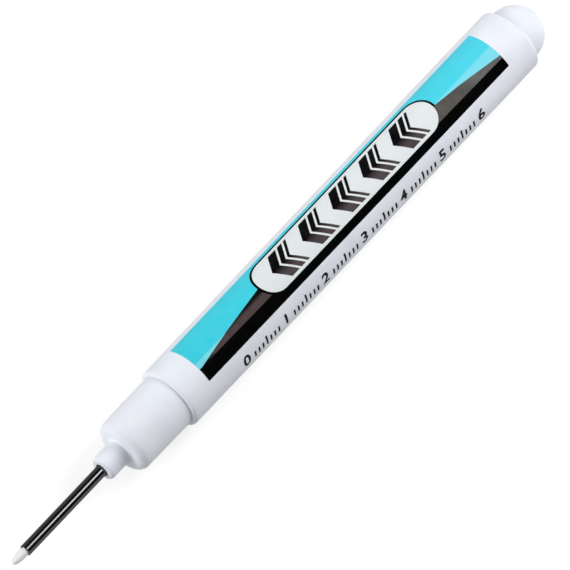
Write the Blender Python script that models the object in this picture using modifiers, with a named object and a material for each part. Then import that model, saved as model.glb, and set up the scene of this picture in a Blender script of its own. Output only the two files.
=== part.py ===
"""Long-nosed paint marker with a valve that the nib opens.

The marker lies along X with its nib towards -X, on a flat side of its barrel, over the origin.
Stations are distances from the nib's point, measured along the marker's axis.
"""

import math

import bpy
from mathutils import Vector

MM = 0.001

# Clearances
PRESS_GAP = 0.04 * MM
SLIDE_GAP = 0.15 * MM
SEAT_GAP = 0.05 * MM
REST_PLAY = 0.3 * MM

# Nib and its collar
NIB_RADIUS = 0.78 * MM
NIB_EXPOSED = 3.15 * MM
NIB_POINT_LENGTH = 2.3 * MM
NIB_CLEARANCE = 0.06 * MM
NIB_FEED_LENGTH = 3.0 * MM
NIB_TRAVEL = 2.0 * MM
COLLAR_RADIUS = 2.2 * MM
COLLAR_LENGTH = 3.0 * MM
COLLAR_GUIDE_LENGTH = 1.2 * MM
COLLAR_NOTCHES = 4
COLLAR_NOTCH_RADIUS = 0.8 * MM

# Nose tube
TUBE_WALL = 0.2 * MM
TUBE_EXPOSED = 19.35 * MM
TUBE_LIP = 0.08 * MM
TUBE_FLANGE_WIDTH = 0.7 * MM
TUBE_FLANGE_THICKNESS = 0.4 * MM

# Front section
NOZZLE_RADIUS = 2.3 * MM
NOZZLE_LENGTH = 4.7 * MM
NOZZLE_FILLET = 0.6 * MM
NOZZLE_ROOT_FILLET = 0.3 * MM
MOUTH_RELIEF = 0.1 * MM
MOUTH_DEPTH = 0.5 * MM
NOSE_WALL = 2.0 * MM
FRONT_RADIUS = 5.15 * MM
FRONT_DRAFT = 0.08 * MM
FRONT_LENGTH = 12.2 * MM
SHOULDER_FILLET = 1.5 * MM
SPIGOT_LENGTH = 12.0 * MM
SPIGOT_WALL = 0.6 * MM
VALVE_LEDGE = 0.5 * MM
VALVE_LEDGE_DEPTH = 2.6 * MM

# Barrel
BARREL_RADIUS = 6.07 * MM
BARREL_DRAFT = 0.15 * MM
BARREL_LENGTH = 88.0 * MM
BARREL_WALL = 1.25 * MM
BARREL_FRONT_FILLET = 0.6 * MM
BARREL_REAR_FILLET = 0.5 * MM
BORE_LEAD_IN = 0.2 * MM
SNAP_HEIGHT = 0.12 * MM
SNAP_WIDTH = 1.0 * MM
SNAP_SLACK = 0.1 * MM

# Tail plug
DOME_RADIUS = 5.0 * MM
NECK_LENGTH = 1.0 * MM
PLUG_SPIGOT_LENGTH = 8.0 * MM
PLUG_WALL = 1.2 * MM

# Valve
CUP_DEPTH = 1.5 * MM
CUP_WALL = 0.35 * MM
CUP_CLEARANCE = 0.1 * MM
FLOW_GAP = 0.35 * MM
VALVE_WALL = 0.7 * MM
VALVE_FLOOR = 1.2 * MM
VALVE_FLANGE_THICKNESS = 1.0 * MM
GASKET_THICKNESS = 0.9 * MM
HEAD_GAP = 0.6 * MM
HEAD_THICKNESS = 1.4 * MM
GUIDE_RADIUS = 0.8 * MM
WIRE_RADIUS = 0.2 * MM
SPRING_CLEARANCE = 0.3 * MM
SPRING_PITCH = 0.95 * MM
RETAINER_PLUG_LENGTH = 1.0 * MM
RETAINER_FLANGE_THICKNESS = 0.8 * MM
RETAINER_EDGE_GAP = 0.3 * MM
INK_PORTS = 4
INK_PORT_RADIUS = 0.55 * MM

# Mixing ball
BALL_RADIUS = 2.5 * MM
BALL_GAP = 0.1 * MM

# Fineness of the round shapes
SIDES = 32
FINE_SIDES = 16
FILLET_STEPS = 4
DOME_STEPS = 8
POINT_STEPS = 6
CURL_POINTS = 10
LARGEST_FILLET_SHARE = 0.6
MERGE_DISTANCE = 0.001 * MM
OVERCUT = 1.0 * MM

# Stations along the outside
TUBE_MOUTH = NIB_EXPOSED
NOZZLE_FACE = TUBE_MOUTH + TUBE_EXPOSED
SHOULDER = NOZZLE_FACE + NOZZLE_LENGTH
BARREL_FRONT = SHOULDER + FRONT_LENGTH
BARREL_REAR = BARREL_FRONT + BARREL_LENGTH
DOME_CENTRE = BARREL_REAR + NECK_LENGTH
TAIL_END = DOME_CENTRE + DOME_RADIUS

# Stations inside
CHAMBER_FRONT = SHOULDER + NOSE_WALL
TUBE_REAR = CHAMBER_FRONT + SEAT_GAP + TUBE_FLANGE_THICKNESS
COLLAR_FRONT = TUBE_REAR + REST_PLAY
COLLAR_REAR = COLLAR_FRONT + COLLAR_LENGTH
STEM_FRONT = COLLAR_REAR + NIB_FEED_LENGTH
CUP_FLOOR = STEM_FRONT + CUP_DEPTH
NIB_REAR = CUP_FLOOR - SEAT_GAP
LEDGE = BARREL_FRONT + VALVE_LEDGE_DEPTH
SPIGOT_REAR = BARREL_FRONT + SPIGOT_LENGTH
VALVE_FRONT = LEDGE + SEAT_GAP
VALVE_SEAT = VALVE_FRONT + VALVE_FLOOR
GASKET_FRONT = VALVE_SEAT + SEAT_GAP
GASKET_REAR = GASKET_FRONT + GASKET_THICKNESS
HEAD_FRONT = GASKET_REAR + SEAT_GAP
HEAD_REAR = HEAD_FRONT + HEAD_THICKNESS
VALVE_FLANGE_FRONT = SPIGOT_REAR + SEAT_GAP
VALVE_REAR = VALVE_FLANGE_FRONT + VALVE_FLANGE_THICKNESS
RETAINER_FLANGE_FRONT = VALVE_REAR + SEAT_GAP
RETAINER_FRONT = RETAINER_FLANGE_FRONT - RETAINER_PLUG_LENGTH
RETAINER_REAR = RETAINER_FLANGE_FRONT + RETAINER_FLANGE_THICKNESS
PLUG_FRONT = BARREL_REAR - PLUG_SPIGOT_LENGTH
BALL_STATION = RETAINER_REAR + NIB_TRAVEL + REST_PLAY + BALL_RADIUS

# Radii from the barrel inwards
BARREL_FRONT_RADIUS = BARREL_RADIUS - BARREL_DRAFT
BORE_RADIUS = BARREL_FRONT_RADIUS - BARREL_WALL
SPIGOT_RADIUS = BORE_RADIUS - PRESS_GAP
SOCKET_RADIUS = SPIGOT_RADIUS - SPIGOT_WALL
CHAMBER_RADIUS = SOCKET_RADIUS - VALVE_LEDGE
VALVE_RADIUS = SOCKET_RADIUS - PRESS_GAP
CAVITY_RADIUS = VALVE_RADIUS - VALVE_WALL
HEAD_RADIUS = CAVITY_RADIUS - HEAD_GAP

# Radii from the nib outwards
TUBE_BORE_RADIUS = NIB_RADIUS + NIB_CLEARANCE
TUBE_RADIUS = TUBE_BORE_RADIUS + TUBE_WALL
TUBE_FLANGE_RADIUS = TUBE_RADIUS + TUBE_FLANGE_WIDTH
NOSE_BORE_RADIUS = TUBE_RADIUS + PRESS_GAP
CUP_RADIUS = NIB_RADIUS + CUP_CLEARANCE
STEM_RADIUS = CUP_RADIUS + CUP_WALL
SEAT_HOLE_RADIUS = STEM_RADIUS + FLOW_GAP
SPRING_RADIUS = GUIDE_RADIUS + SPRING_CLEARANCE + WIRE_RADIUS

# How the marker lies
HALF_SIDE_ANGLE = math.pi / SIDES
FLAT_SHARE = math.cos(HALF_SIDE_ANGLE)
AXIS_HEIGHT = BARREL_RADIUS * FLAT_SHARE
BALL_DROP = BORE_RADIUS * FLAT_SHARE - BALL_GAP - BALL_RADIUS


def clear_scene():
    for item in list(bpy.data.objects):
        bpy.data.objects.remove(item)


def add_collection(name):
    collection = bpy.data.collections.new(name)
    bpy.context.scene.collection.children.link(collection)
    return collection


def add_material(name, colour, roughness, metallic):
    material = bpy.data.materials.new(name)
    material.use_nodes = True
    shader = material.node_tree.nodes["Principled BSDF"]
    shader.inputs["Base Color"].default_value = (*colour, 1.0)
    shader.inputs["Roughness"].default_value = roughness
    shader.inputs["Metallic"].default_value = metallic
    material.diffuse_color = (*colour, 1.0)
    return material


def place(piece, collection, axis, material=None):
    """Put a piece into a collection, under the empty on the marker's axis."""
    for home in list(piece.users_collection):
        home.objects.unlink(piece)
    collection.objects.link(piece)
    piece.parent = axis
    if material is not None:
        piece.data.materials.append(material)
    return piece


def rounded(corners, closed):
    """Profile points for corners given as (station, radius, fillet)."""
    points = []
    count = len(corners)
    for index, (station, radius, fillet) in enumerate(corners):
        corner = Vector((station, radius))
        is_end = not closed and index in (0, count - 1)
        if fillet == 0 or is_end:
            points.append(corner)
            continue
        before = Vector(corners[index - 1][:2]) - corner
        after = Vector(corners[(index + 1) % count][:2]) - corner
        half_angle = before.angle(after) / 2
        shorter_side = min(before.length, after.length)
        reach = min(fillet / math.tan(half_angle), shorter_side * LARGEST_FILLET_SHARE)
        arc_radius = reach * math.tan(half_angle)
        bisector = (before.normalized() + after.normalized()).normalized()
        centre = corner + bisector * (arc_radius / math.sin(half_angle))
        first = corner + before.normalized() * reach - centre
        last = corner + after.normalized() * reach - centre
        for step in range(FILLET_STEPS + 1):
            points.append(centre + first.slerp(last, step / FILLET_STEPS) * arc_radius)
    return points


def sharp(*corners):
    """Corners with no fillet."""
    return [(station, radius, 0) for station, radius in corners]


def snap_ring(middle, radius, width):
    """Corners of a low ring that stands out from a radius, nib side first."""
    return sharp(
        (middle - width / 2, radius),
        (middle, radius + SNAP_HEIGHT),
        (middle + width / 2, radius),
    )


def turned(name, points, closed, sides=SIDES):
    """A profile turned about the marker's axis, with a flat side at the bottom."""
    mesh = bpy.data.meshes.new(name)
    edges = [(index, index + 1) for index in range(len(points) - 1)]
    if closed:
        edges.append((len(points) - 1, 0))
    mesh.from_pydata([(station, 0, radius) for station, radius in points], edges, [])
    piece = bpy.data.objects.new(name, mesh)
    piece.rotation_euler.x = HALF_SIDE_ANGLE
    turn = piece.modifiers.new("turn", "SCREW")
    turn.axis = "X"
    turn.steps = sides
    turn.render_steps = sides
    turn.use_merge_vertices = True
    turn.merge_threshold = MERGE_DISTANCE
    turn.use_smooth_shade = True
    return piece


def cut_ring_of_holes(piece, cutters, axis, count, pitch_radius, radius, front, rear):
    """Cut round holes or notches that run along the axis through a turned piece."""
    for index in range(count):
        angle = 2 * math.pi * index / count
        bpy.ops.mesh.primitive_cylinder_add(
            vertices=FINE_SIDES, radius=radius, depth=rear - front + 2 * OVERCUT
        )
        cutter = bpy.context.object
        cutter.name = f"{piece.name}_cutter_{index + 1}"
        cutter.location = (
            (front + rear) / 2,
            pitch_radius * math.cos(angle),
            pitch_radius * math.sin(angle),
        )
        cutter.rotation_euler.y = math.pi / 2
        cutter.hide_render = True
        cutter.display_type = "WIRE"
        place(cutter, cutters, axis)
        cut = piece.modifiers.new(cutter.name, "BOOLEAN")
        cut.operation = "DIFFERENCE"
        cut.object = cutter


def make_barrel():
    front_snap = (BARREL_FRONT + SPIGOT_REAR) / 2
    rear_snap = (PLUG_FRONT + BARREL_REAR) / 2
    groove_width = SNAP_WIDTH + 2 * SNAP_SLACK
    inside = [
        *sharp(
            (BARREL_FRONT, BORE_RADIUS + BORE_LEAD_IN),
            (BARREL_FRONT + BORE_LEAD_IN, BORE_RADIUS),
        ),
        *snap_ring(front_snap, BORE_RADIUS, groove_width),
        *snap_ring(rear_snap, BORE_RADIUS, groove_width),
        *sharp(
            (BARREL_REAR - BORE_LEAD_IN, BORE_RADIUS),
            (BARREL_REAR, BORE_RADIUS + BORE_LEAD_IN),
        ),
    ]
    outside = [
        (BARREL_REAR, BARREL_RADIUS, BARREL_REAR_FILLET),
        (BARREL_FRONT, BARREL_FRONT_RADIUS, BARREL_FRONT_FILLET),
    ]
    return turned("barrel", rounded(inside + outside, True), True)


def make_front_section():
    snap = (BARREL_FRONT + SPIGOT_REAR) / 2
    outside = [
        (NOZZLE_FACE, NOZZLE_RADIUS, NOZZLE_FILLET),
        (SHOULDER, NOZZLE_RADIUS, NOZZLE_ROOT_FILLET),
        (SHOULDER, FRONT_RADIUS - FRONT_DRAFT, SHOULDER_FILLET),
        *sharp(
            (BARREL_FRONT - SEAT_GAP, FRONT_RADIUS),
            (BARREL_FRONT - SEAT_GAP, SPIGOT_RADIUS),
        ),
        *snap_ring(snap, SPIGOT_RADIUS, SNAP_WIDTH),
        *sharp((SPIGOT_REAR, SPIGOT_RADIUS)),
    ]
    inside = sharp(
        (SPIGOT_REAR, SOCKET_RADIUS),
        (LEDGE, SOCKET_RADIUS),
        (LEDGE, CHAMBER_RADIUS),
        (CHAMBER_FRONT, CHAMBER_RADIUS),
        (CHAMBER_FRONT, NOSE_BORE_RADIUS),
        (NOZZLE_FACE + MOUTH_DEPTH, NOSE_BORE_RADIUS),
        (NOZZLE_FACE + MOUTH_DEPTH, NOSE_BORE_RADIUS + MOUTH_RELIEF),
        (NOZZLE_FACE, NOSE_BORE_RADIUS + MOUTH_RELIEF),
    )
    return turned("front_section", rounded((outside + inside)[::-1], True), True)


def make_nose_tube():
    flange_front = TUBE_REAR - TUBE_FLANGE_THICKNESS
    corners = [
        (TUBE_MOUTH, TUBE_RADIUS, TUBE_LIP),
        *sharp(
            (flange_front, TUBE_RADIUS),
            (flange_front, TUBE_FLANGE_RADIUS),
            (TUBE_REAR, TUBE_FLANGE_RADIUS),
            (TUBE_REAR, TUBE_BORE_RADIUS),
        ),
        (TUBE_MOUTH, TUBE_BORE_RADIUS, TUBE_LIP),
    ]
    return turned("nose_tube", rounded(corners[::-1], True), True, FINE_SIDES)


def make_nib():
    points = [Vector((NIB_REAR, 0)), Vector((NIB_REAR, NIB_RADIUS))]
    for step in range(POINT_STEPS + 1):
        angle = math.pi / 2 * (1 - step / POINT_STEPS)
        station = NIB_POINT_LENGTH * (1 - math.cos(angle))
        points.append(Vector((station, NIB_RADIUS * math.sin(angle))))
    return turned("nib", points, False, FINE_SIDES)


def make_nib_collar(cutters, axis):
    guide_radius = CHAMBER_RADIUS - SLIDE_GAP
    guide_rear = COLLAR_FRONT + COLLAR_GUIDE_LENGTH
    bore_radius = NIB_RADIUS + PRESS_GAP
    corners = sharp(
        (COLLAR_FRONT, guide_radius),
        (guide_rear, guide_radius),
        (guide_rear, COLLAR_RADIUS),
        (COLLAR_REAR, COLLAR_RADIUS),
        (COLLAR_REAR, bore_radius),
        (COLLAR_FRONT, bore_radius),
    )
    collar = turned("nib_collar", rounded(corners[::-1], True), True)
    cut_ring_of_holes(
        collar,
        cutters,
        axis,
        COLLAR_NOTCHES,
        guide_radius,
        COLLAR_NOTCH_RADIUS,
        COLLAR_FRONT,
        guide_rear,
    )
    return collar


def make_valve_body():
    corners = sharp(
        (VALVE_FRONT, VALVE_RADIUS),
        (VALVE_FLANGE_FRONT, VALVE_RADIUS),
        (VALVE_FLANGE_FRONT, SPIGOT_RADIUS),
        (VALVE_REAR, SPIGOT_RADIUS),
        (VALVE_REAR, CAVITY_RADIUS),
        (VALVE_SEAT, CAVITY_RADIUS),
        (VALVE_SEAT, SEAT_HOLE_RADIUS),
        (VALVE_FRONT, SEAT_HOLE_RADIUS),
    )
    return turned("valve_body", rounded(corners[::-1], True), True)


def make_valve_gasket():
    corners = sharp(
        (GASKET_FRONT, CAVITY_RADIUS - PRESS_GAP),
        (GASKET_REAR, CAVITY_RADIUS - PRESS_GAP),
        (GASKET_REAR, SEAT_HOLE_RADIUS),
        (GASKET_FRONT, SEAT_HOLE_RADIUS),
    )
    return turned("valve_gasket", rounded(corners[::-1], True), True)


def make_valve_stem():
    corners = sharp(
        (CUP_FLOOR, 0),
        (CUP_FLOOR, CUP_RADIUS),
        (STEM_FRONT, CUP_RADIUS),
        (STEM_FRONT, STEM_RADIUS),
        (HEAD_FRONT, STEM_RADIUS),
        (HEAD_FRONT, HEAD_RADIUS),
        (HEAD_REAR, HEAD_RADIUS),
        (HEAD_REAR, GUIDE_RADIUS),
        (RETAINER_REAR, GUIDE_RADIUS),
        (RETAINER_REAR, 0),
    )
    return turned("valve_stem", rounded(corners[::-1], False), False, FINE_SIDES)


def make_spring_retainer(cutters, axis):
    plug_radius = CAVITY_RADIUS - PRESS_GAP
    hole_radius = GUIDE_RADIUS + SLIDE_GAP
    corners = sharp(
        (RETAINER_FRONT, plug_radius),
        (RETAINER_FLANGE_FRONT, plug_radius),
        (RETAINER_FLANGE_FRONT, BORE_RADIUS - RETAINER_EDGE_GAP),
        (RETAINER_REAR, BORE_RADIUS - RETAINER_EDGE_GAP),
        (RETAINER_REAR, hole_radius),
        (RETAINER_FRONT, hole_radius),
    )
    retainer = turned("spring_retainer", rounded(corners[::-1], True), True)
    cut_ring_of_holes(
        retainer,
        cutters,
        axis,
        INK_PORTS,
        (hole_radius + plug_radius) / 2,
        INK_PORT_RADIUS,
        RETAINER_FRONT,
        RETAINER_REAR,
    )
    return retainer


def least_self_gap(points, wire_radius, points_apart):
    """Smallest clear distance between stretches of a coil that aren't neighbours."""
    nearest = min(
        (points[first] - points[second]).length
        for first in range(len(points))
        for second in range(first + points_apart, len(points))
    )
    return nearest - 2 * wire_radius


def make_valve_spring():
    first = HEAD_REAR + SEAT_GAP + WIRE_RADIUS
    last = RETAINER_FRONT - SEAT_GAP - WIRE_RADIUS
    curls = max(1, round((last - first) / SPRING_PITCH))
    count = curls * CURL_POINTS
    points = []
    for index in range(count + 1):
        angle = 2 * math.pi * index / CURL_POINTS
        station = first + (last - first) * index / count
        side = SPRING_RADIUS * math.cos(angle)
        height = SPRING_RADIUS * math.sin(angle)
        points.append(Vector((station, side, height)))
    gap = least_self_gap(points, WIRE_RADIUS, CURL_POINTS // 2)
    print(f"valve_spring: {curls} curls, least gap to itself {gap / MM:.2f} mm")
    curve = bpy.data.curves.new("valve_spring", "CURVE")
    curve.dimensions = "3D"
    curve.bevel_depth = WIRE_RADIUS
    curve.bevel_resolution = 1
    curve.use_fill_caps = True
    spline = curve.splines.new("POLY")
    spline.points.add(count)
    for point, place_on_coil in zip(spline.points, points):
        point.co = (*place_on_coil, 1)
    return bpy.data.objects.new("valve_spring", curve)


def make_tail_plug():
    snap = (PLUG_FRONT + BARREL_REAR) / 2
    outside = [
        *sharp((PLUG_FRONT, SPIGOT_RADIUS)),
        *snap_ring(snap, SPIGOT_RADIUS, SNAP_WIDTH),
        *sharp(
            (BARREL_REAR + SEAT_GAP, SPIGOT_RADIUS),
            (BARREL_REAR + SEAT_GAP, DOME_RADIUS),
        ),
    ]
    points = rounded(outside, False)
    for step in range(DOME_STEPS + 1):
        angle = math.pi / 2 * step / DOME_STEPS
        station = DOME_CENTRE + DOME_RADIUS * math.sin(angle)
        points.append(Vector((station, DOME_RADIUS * math.cos(angle))))
    hollow_radius = SPIGOT_RADIUS - PLUG_WALL
    hollow = []
    for step in range(DOME_STEPS + 1):
        angle = math.pi / 2 * step / DOME_STEPS
        station = DOME_CENTRE + hollow_radius * math.sin(angle)
        hollow.append(Vector((station, hollow_radius * math.cos(angle))))
    points += hollow[::-1]
    points.append(Vector((PLUG_FRONT, hollow_radius)))
    points.append(Vector((PLUG_FRONT, SPIGOT_RADIUS)))
    return turned("tail_plug", points[::-1], False)


def make_mixing_ball():
    bpy.ops.mesh.primitive_uv_sphere_add(
        segments=SIDES, ring_count=FINE_SIDES, radius=BALL_RADIUS
    )
    ball = bpy.context.object
    ball.name = "mixing_ball"
    ball.data.name = "mixing_ball"
    ball.data.shade_smooth()
    ball.location = (BALL_STATION, 0, -BALL_DROP)
    return ball


def main():
    clear_scene()
    parts = add_collection("paint_marker")
    cutters = add_collection("paint_marker_cutters")
    axis = bpy.data.objects.new("marker_axis", None)
    axis.location = (-TAIL_END / 2, 0, AXIS_HEIGHT)
    parts.objects.link(axis)

    white = add_material("white_plastic", (0.86, 0.88, 0.92), 0.3, 0.0)
    dark_steel = add_material("dark_polished_steel", (0.08, 0.08, 0.085), 0.15, 1.0)
    fibre = add_material("nib_fibre", (0.78, 0.78, 0.77), 0.9, 0.0)
    natural = add_material("natural_plastic", (0.72, 0.73, 0.70), 0.45, 0.0)
    rubber = add_material("gasket_rubber", (0.03, 0.03, 0.03), 0.7, 0.0)
    steel = add_material("bright_steel", (0.62, 0.62, 0.63), 0.2, 1.0)

    place(make_barrel(), parts, axis, white)
    place(make_tail_plug(), parts, axis, white)
    place(make_front_section(), parts, axis, white)
    place(make_nose_tube(), parts, axis, dark_steel)
    place(make_nib(), parts, axis, fibre)
    place(make_nib_collar(cutters, axis), parts, axis, natural)
    place(make_valve_body(), parts, axis, natural)
    place(make_valve_gasket(), parts, axis, rubber)
    place(make_valve_stem(), parts, axis, natural)
    place(make_valve_spring(), parts, axis, steel)
    place(make_spring_retainer(cutters, axis), parts, axis, natural)
    place(make_mixing_ball(), parts, axis, steel)


main()
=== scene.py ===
import math

import bmesh
import bpy
from mathutils import Matrix, Vector


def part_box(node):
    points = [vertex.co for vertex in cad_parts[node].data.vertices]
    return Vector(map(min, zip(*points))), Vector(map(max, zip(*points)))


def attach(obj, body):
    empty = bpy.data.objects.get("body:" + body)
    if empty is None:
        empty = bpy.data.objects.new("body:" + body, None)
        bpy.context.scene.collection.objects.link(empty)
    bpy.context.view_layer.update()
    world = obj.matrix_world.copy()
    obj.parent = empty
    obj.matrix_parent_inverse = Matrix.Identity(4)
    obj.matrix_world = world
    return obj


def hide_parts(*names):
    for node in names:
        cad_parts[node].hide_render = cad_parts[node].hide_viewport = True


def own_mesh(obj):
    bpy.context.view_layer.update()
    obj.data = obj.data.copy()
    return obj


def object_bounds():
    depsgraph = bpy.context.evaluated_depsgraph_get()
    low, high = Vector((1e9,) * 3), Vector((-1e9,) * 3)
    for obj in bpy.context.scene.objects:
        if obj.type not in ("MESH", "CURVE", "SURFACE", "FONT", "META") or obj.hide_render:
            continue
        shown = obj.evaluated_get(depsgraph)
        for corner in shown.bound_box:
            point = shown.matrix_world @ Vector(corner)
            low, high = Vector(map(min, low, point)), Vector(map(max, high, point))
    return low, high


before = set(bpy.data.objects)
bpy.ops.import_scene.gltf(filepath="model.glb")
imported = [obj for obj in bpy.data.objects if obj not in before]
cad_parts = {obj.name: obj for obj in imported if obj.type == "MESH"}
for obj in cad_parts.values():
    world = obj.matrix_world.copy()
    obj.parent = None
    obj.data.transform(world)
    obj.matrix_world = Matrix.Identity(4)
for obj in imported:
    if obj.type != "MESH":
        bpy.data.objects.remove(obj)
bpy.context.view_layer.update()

scene = bpy.context.scene

MM = 0.001

# The CAD pieces are turned with flat sides, so their boxes are narrower than their corners
CAD_SIDES = 32
FLAT_SHARE = math.cos(math.pi / CAD_SIDES)


def ends(node):
    """X of a CAD piece's nib end and of its tail end."""
    low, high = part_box(node)
    return low.x, high.x


def outer_radius(node):
    """Radius of the circle through the corners of a turned CAD piece."""
    low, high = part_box(node)
    return (high.y - low.y) / 2 / FLAT_SHARE


# Places and radii from the frame
NIB_POINT, NIB_REAR = ends("nib")
TUBE_MOUTH, TUBE_REAR = ends("nose_tube")
NOZZLE_FACE, SPIGOT_REAR = ends("front_section")
BARREL_FRONT, BARREL_REAR = ends("barrel")
PLUG_FRONT, TAIL_END = ends("tail_plug")
COLLAR_FRONT, COLLAR_REAR = ends("nib_collar")
VALVE_FRONT, VALVE_REAR = ends("valve_body")
GASKET_FRONT, GASKET_REAR = ends("valve_gasket")
STEM_FRONT, STEM_REAR = ends("valve_stem")
SPRING_FRONT, SPRING_REAR = ends("valve_spring")
RETAINER_FRONT, RETAINER_REAR = ends("spring_retainer")
BALL_FRONT, BALL_REAR = ends("mixing_ball")
BARREL_RADIUS = outer_radius("barrel")
FRONT_RADIUS = outer_radius("front_section")
DOME_RADIUS = outer_radius("tail_plug")
NIB_RADIUS = outer_radius("nib")
TUBE_FLANGE_RADIUS = outer_radius("nose_tube")
SPIGOT_RADIUS = outer_radius("valve_body")
GASKET_RADIUS = outer_radius("valve_gasket")
HEAD_RADIUS = outer_radius("valve_stem")
RETAINER_RADIUS = outer_radius("spring_retainer")
AXIS_HEIGHT = sum(corner.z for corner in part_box("barrel")) / 2
BALL_HEIGHT = sum(corner.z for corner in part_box("mixing_ball")) / 2

# Clearances
PRESS_GAP = 0.04 * MM
SEAT_GAP = 0.05 * MM
SLIDE_GAP = 0.15 * MM

# Nose
NIB_POINT_LENGTH = 2.3 * MM
NIB_CLEARANCE = 0.06 * MM
TUBE_WALL = 0.2 * MM
TUBE_LIP = 0.08 * MM
TUBE_FLANGE_THICKNESS = 0.4 * MM
NOZZLE_RADIUS = 2.3 * MM
NOZZLE_LENGTH = 4.7 * MM
NOZZLE_FILLET = 0.6 * MM
NOZZLE_ROOT_FILLET = 0.3 * MM
MOUTH_RELIEF = 0.1 * MM
MOUTH_DEPTH = 0.5 * MM
NOSE_WALL = 2.0 * MM
FRONT_DRAFT = 0.08 * MM
SHOULDER_FILLET = 1.5 * MM
SPIGOT_WALL = 0.6 * MM
VALVE_LEDGE = 0.5 * MM

# Barrel and tail
BARREL_DRAFT = 0.15 * MM
BARREL_WALL = 1.25 * MM
BARREL_FRONT_FILLET = 0.6 * MM
BARREL_REAR_FILLET = 0.5 * MM
BORE_LEAD_IN = 0.2 * MM
SNAP_HEIGHT = 0.12 * MM
SNAP_WIDTH = 1.0 * MM
SNAP_SLACK = 0.1 * MM
NECK_LENGTH = 1.0 * MM
PLUG_WALL = 1.2 * MM
GATE_RADIUS = 0.7 * MM
GATE_DEPTH = 0.25 * MM
GATE_FILLET = 0.1 * MM

# Valve
COLLAR_RADIUS = 2.2 * MM
COLLAR_GUIDE_LENGTH = 1.2 * MM
COLLAR_NOTCHES = 4
COLLAR_NOTCH_RADIUS = 0.8 * MM
CUP_DEPTH = 1.5 * MM
CUP_WALL = 0.35 * MM
CUP_CLEARANCE = 0.1 * MM
FLOW_GAP = 0.35 * MM
VALVE_WALL = 0.7 * MM
VALVE_FLANGE_THICKNESS = 1.0 * MM
GUIDE_RADIUS = 0.8 * MM
HEAD_THICKNESS = 1.4 * MM
WIRE_RADIUS = 0.2 * MM
SPRING_CLEARANCE = 0.3 * MM
SPRING_CURLS = 6
RETAINER_FLANGE_THICKNESS = 0.8 * MM
INK_PORTS = 4
INK_PORT_RADIUS = 0.55 * MM
EDGE_BREAK = 0.08 * MM

# Radii and stations that follow
BARREL_FRONT_RADIUS = BARREL_RADIUS - BARREL_DRAFT
BORE_RADIUS = BARREL_FRONT_RADIUS - BARREL_WALL
SOCKET_RADIUS = SPIGOT_RADIUS - SPIGOT_WALL
CHAMBER_RADIUS = SOCKET_RADIUS - VALVE_LEDGE
VALVE_RADIUS = SOCKET_RADIUS - PRESS_GAP
CAVITY_RADIUS = VALVE_RADIUS - VALVE_WALL
TUBE_BORE_RADIUS = NIB_RADIUS + NIB_CLEARANCE
TUBE_RADIUS = TUBE_BORE_RADIUS + TUBE_WALL
NOSE_BORE_RADIUS = TUBE_RADIUS + PRESS_GAP
CUP_RADIUS = NIB_RADIUS + CUP_CLEARANCE
STEM_RADIUS = CUP_RADIUS + CUP_WALL
SEAT_HOLE_RADIUS = STEM_RADIUS + FLOW_GAP
COIL_RADIUS = GUIDE_RADIUS + SPRING_CLEARANCE + WIRE_RADIUS
SHOULDER = NOZZLE_FACE + NOZZLE_LENGTH
CHAMBER_FRONT = SHOULDER + NOSE_WALL
LEDGE = VALVE_FRONT - SEAT_GAP
VALVE_SEAT = GASKET_FRONT - SEAT_GAP
HEAD_FRONT = GASKET_REAR + SEAT_GAP
HEAD_REAR = HEAD_FRONT + HEAD_THICKNESS
DOME_CENTRE = BARREL_REAR + NECK_LENGTH
FRONT_SNAP = (BARREL_FRONT + SPIGOT_REAR) / 2
REAR_SNAP = (PLUG_FRONT + BARREL_REAR) / 2

# Fineness of the turned pieces
BARREL_SIDES = 192
FINE_SIDES = 96
WIRE_SIDES = 16
CURL_POINTS = 48
FILLET_STEPS = 10
DOME_STEPS = 32
POINT_STEPS = 20
HOLD_LENGTH = 0.06 * MM
HELD_STRAIGHT = 3 * HOLD_LENGTH
MERGE_DISTANCE = 0.0005 * MM
LARGEST_FILLET_SHARE = 0.6
ROUNDING_GUARD = 0.5
SHARP_ANGLE = math.radians(30)
QUARTER_TURN = math.pi / 2

# Printed label: lengths from its nib end, heights from its lower edge round the barrel
LABEL_MARGIN = 5.3 * MM
LABEL_LENGTH = 76.8 * MM
LABEL_HEIGHT = 9.46 * MM
LABEL_FOOT_TURN = math.radians(46.9)
LABEL_FRONT = BARREL_FRONT + LABEL_MARGIN
WRAP_RADIUS = BARREL_RADIUS - BARREL_DRAFT / 2
BAND_HEIGHT_FRONT = 2.58 * MM
BAND_HEIGHT_REAR = 1.8 * MM
HILL_FOOT = 1.5 * MM
HILL_EAVES_FRONT = 2.47 * MM
HILL_EAVES_REAR = 2.32 * MM
HILL_BEND_FRONT = (8.0 * MM, 3.7 * MM)
HILL_BEND_REAR = (68.0 * MM, 3.77 * MM)
HILL_PEAK = (39.6 * MM, 7.35 * MM)
# Stretches of the hill's black ink where a painted reflection of the strip lamp shows as a grey
# sheen
HILL_DARK_FRONT = 2.0 * MM
HILL_LIT_FRONT = 4.0 * MM
HILL_LIT_HEIGHT = 3.45 * MM
HILL_DARK_HEIGHT = 4.1 * MM
HILL_PALE_SHEEN_FRONT = 68.0 * MM
HILL_PALE_SHEEN_REAR = 70.5 * MM
FRONT_WEDGE_HEIGHT = 3.68 * MM
FRONT_WEDGE_TIP = 9.0 * MM
REAR_WEDGE_HEIGHT = 4.57 * MM
REAR_WEDGE_TIP = 61.0 * MM
PILL_FRONT = 17.35 * MM
PILL_LENGTH = 45.1 * MM
PILL_FOOT = 1.12 * MM
PILL_HEIGHT = 7.55 * MM
PILL_OUTLINE = 0.42 * MM
PILL_END_STEPS = 64
RIM_BARE_STEPS = 29
CHEVRON_WIDTHS = (1.9 * MM, 1.1 * MM, 0.6 * MM)
CHEVRON_GAP = 0.45 * MM
CHEVRON_FOOT = 2.1 * MM
CHEVRON_HEIGHT = 5.5 * MM
CHEVRON_REACH = 2.0 * MM
# Heights between which the chevrons' painted reflection fades to black
CHEVRON_LIT_HEIGHT = 3.3 * MM
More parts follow.
